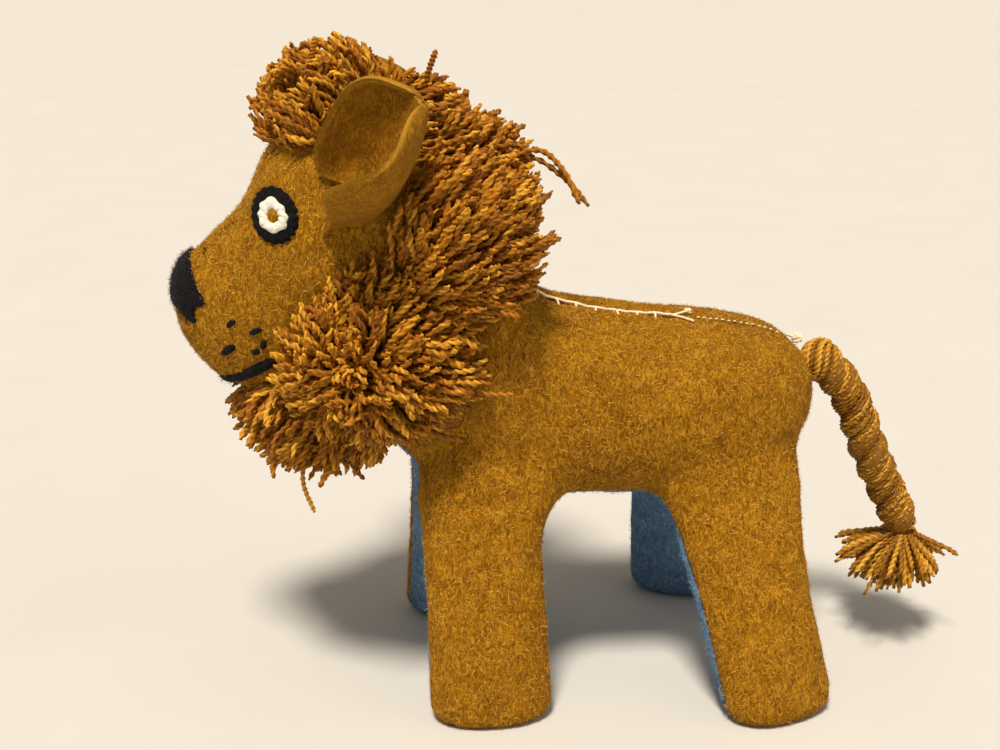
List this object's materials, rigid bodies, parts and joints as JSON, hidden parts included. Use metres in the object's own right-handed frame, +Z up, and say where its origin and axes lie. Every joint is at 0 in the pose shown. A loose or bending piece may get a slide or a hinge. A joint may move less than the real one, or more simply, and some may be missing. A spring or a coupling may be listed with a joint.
{
  "type": "stuffed felt lion toy",
  "caption": "Hand-sewn stuffed felt lion standing on its legs, with folding ears, a yarn pompom mane, stitched face and a flexing wound yarn tail with a tassel.",
  "frame": {"origin": "centre of the bounding box of the toy without its tail, on the plane the soles stand on", "axes": "+Z up through the crown, -X the way the lion faces, +Y towards its right side"},
  "size_m": [0.2432, 0.108, 0.197],
  "materials": {
    "side_panel_left": "mustard wool felt, matte",
    "side_panel_right": "mustard wool felt, matte",
    "head_gusset": "mustard wool felt, matte",
    "underbody_gusset": "blue wool felt, matte",
    "ear_left": "mustard wool felt, matte",
    "ear_right": "mustard wool felt, matte",
    "eye_disc_left": "black felt with an overcast edge, matte",
    "eye_ring_left": "white cotton embroidery thread",
    "eye_disc_right": "black felt with an overcast edge, matte",
    "eye_ring_right": "white cotton embroidery thread",
    "nose_patch": "black embroidery thread, satin stitched",
    "mouth_stitch": "black embroidery thread, satin stitched",
    "whisker_stitch_left_1": "black embroidery thread",
    "whisker_stitch_left_2": "black embroidery thread",
    "whisker_stitch_left_3": "black embroidery thread",
    "whisker_stitch_left_4": "black embroidery thread",
    "whisker_stitch_left_5": "black embroidery thread",
    "whisker_stitch_right_1": "black embroidery thread",
    "whisker_stitch_right_2": "black embroidery thread",
    "whisker_stitch_right_3": "black embroidery thread",
    "whisker_stitch_right_4": "black embroidery thread",
    "whisker_stitch_right_5": "black embroidery thread",
    "mane_lower_left": "brown-gold wool yarn pompom",
    "mane_lower_right": "brown-gold wool yarn pompom",
    "mane_upper_left": "brown-gold wool yarn pompom",
    "mane_upper_right": "brown-gold wool yarn pompom",
    "mane_throat": "brown-gold wool yarn pompom",
    "mane_nape": "brown-gold wool yarn pompom",
    "mane_crown": "brown-gold wool yarn pompom",
    "mane_forelock": "brown-gold wool yarn pompom",
    "back_closing_thread": "cream cotton sewing thread",
    "back_running_stitch": "cream cotton sewing thread",
    "tail_sewing_knot": "cream cotton sewing thread, knotted",
    "tail_knot": "light ochre wool yarn",
    "tail_rope_upper": "light ochre wool yarn",
    "tail_rope_lower": "light ochre wool yarn",
    "tail_whipping": "light ochre wool yarn",
    "tail_tassel": "light ochre wool yarn",
    "stuffing_head": "polyester filling",
    "stuffing_body": "polyester filling",
    "stuffing_front_leg_left": "polyester filling",
    "stuffing_front_leg_right": "polyester filling",
    "stuffing_rear_leg_left": "polyester filling",
    "stuffing_rear_leg_right": "polyester filling"
  },
  "bodies": {
    "body": {"side_panel_left": "side_panel_left", "side_panel_right": "side_panel_right", "head_gusset": "head_gusset", "underbody_gusset": "underbody_gusset", "eye_disc_left": "eye_disc_left", "eye_ring_left": "eye_ring_left", "eye_disc_right": "eye_disc_right", "eye_ring_right": "eye_ring_right", "nose_patch": "nose_patch", "mouth_stitch": "mouth_stitch", "whisker_stitch_left_1": "whisker_stitch_left_1", "whisker_stitch_left_2": "whisker_stitch_left_2", "whisker_stitch_left_3": "whisker_stitch_left_3", "whisker_stitch_left_4": "whisker_stitch_left_4", "whisker_stitch_left_5": "whisker_stitch_left_5", "whisker_stitch_right_1": "whisker_stitch_right_1", "whisker_stitch_right_2": "whisker_stitch_right_2", "whisker_stitch_right_3": "whisker_stitch_right_3", "whisker_stitch_right_4": "whisker_stitch_right_4", "whisker_stitch_right_5": "whisker_stitch_right_5", "mane_lower_left": "mane_lower_left", "mane_lower_right": "mane_lower_right", "mane_upper_left": "mane_upper_left", "mane_upper_right": "mane_upper_right", "mane_throat": "mane_throat", "mane_nape": "mane_nape", "mane_crown": "mane_crown", "mane_forelock": "mane_forelock", "back_closing_thread": "back_closing_thread", "back_running_stitch": "back_running_stitch", "tail_sewing_knot": "tail_sewing_knot", "stuffing_head": "stuffing_head", "stuffing_body": "stuffing_body", "stuffing_front_leg_left": "stuffing_front_leg_left", "stuffing_front_leg_right": "stuffing_front_leg_right", "stuffing_rear_leg_left": "stuffing_rear_leg_left", "stuffing_rear_leg_right": "stuffing_rear_leg_right"},
    "left_ear": {"ear_left": "ear_left"},
    "right_ear": {"ear_right": "ear_right"},
    "tail_root": {"tail_knot": "tail_knot"},
    "tail_upper": {"tail_rope_upper": "tail_rope_upper"},
    "tail_lower": {"tail_rope_lower": "tail_rope_lower", "tail_whipping": "tail_whipping"},
    "tassel": {"tail_tassel": "tail_tassel"}
  },
  "joints": [
    {"name": "left_ear_fold", "type": "hinge", "parent": "body", "child": "left_ear", "pos_m": [-0.037, -0.026, 0.151], "axis": [0.9243, 0, -0.3818], "range_deg": [-8, 25], "stiffness_Nm_per_rad": 0.0015, "springref_deg": -0.73},
    {"name": "right_ear_fold", "type": "hinge", "parent": "body", "child": "right_ear", "pos_m": [-0.037, 0.026, 0.151], "axis": [-0.9243, 0, 0.3818], "range_deg": [-8, 25], "stiffness_Nm_per_rad": 0.0015, "springref_deg": -0.73},
    {"name": "tail_swing", "type": "hinge", "parent": "body", "child": "tail_root", "pos_m": [0.1004, 0, 0.0965], "axis": [0, 0, 1], "range_deg": [-50, 50], "stiffness_Nm_per_rad": 0.002},
    {"name": "tail_lift", "type": "hinge", "parent": "tail_root", "child": "tail_upper", "pos_m": [0.1004, 0, 0.0965], "axis": [0, -1, 0], "range_deg": [-8, 100], "stiffness_Nm_per_rad": 0.003, "springref_deg": 6.44},
    {"name": "tail_bend", "type": "hinge", "parent": "tail_upper", "child": "tail_lower", "pos_m": [0.1175, 0, 0.0685], "axis": [0, -1, 0], "range_deg": [-25, 25], "stiffness_Nm_per_rad": 0.002, "springref_deg": 3.54},
    {"name": "tassel_swing", "type": "hinge", "parent": "tail_lower", "child": "tassel", "pos_m": [0.1325, 0, 0.0385], "axis": [0, -1, 0], "range_deg": [-15, 30], "stiffness_Nm_per_rad": 0.0003, "springref_deg": -5.84}
  ]
}
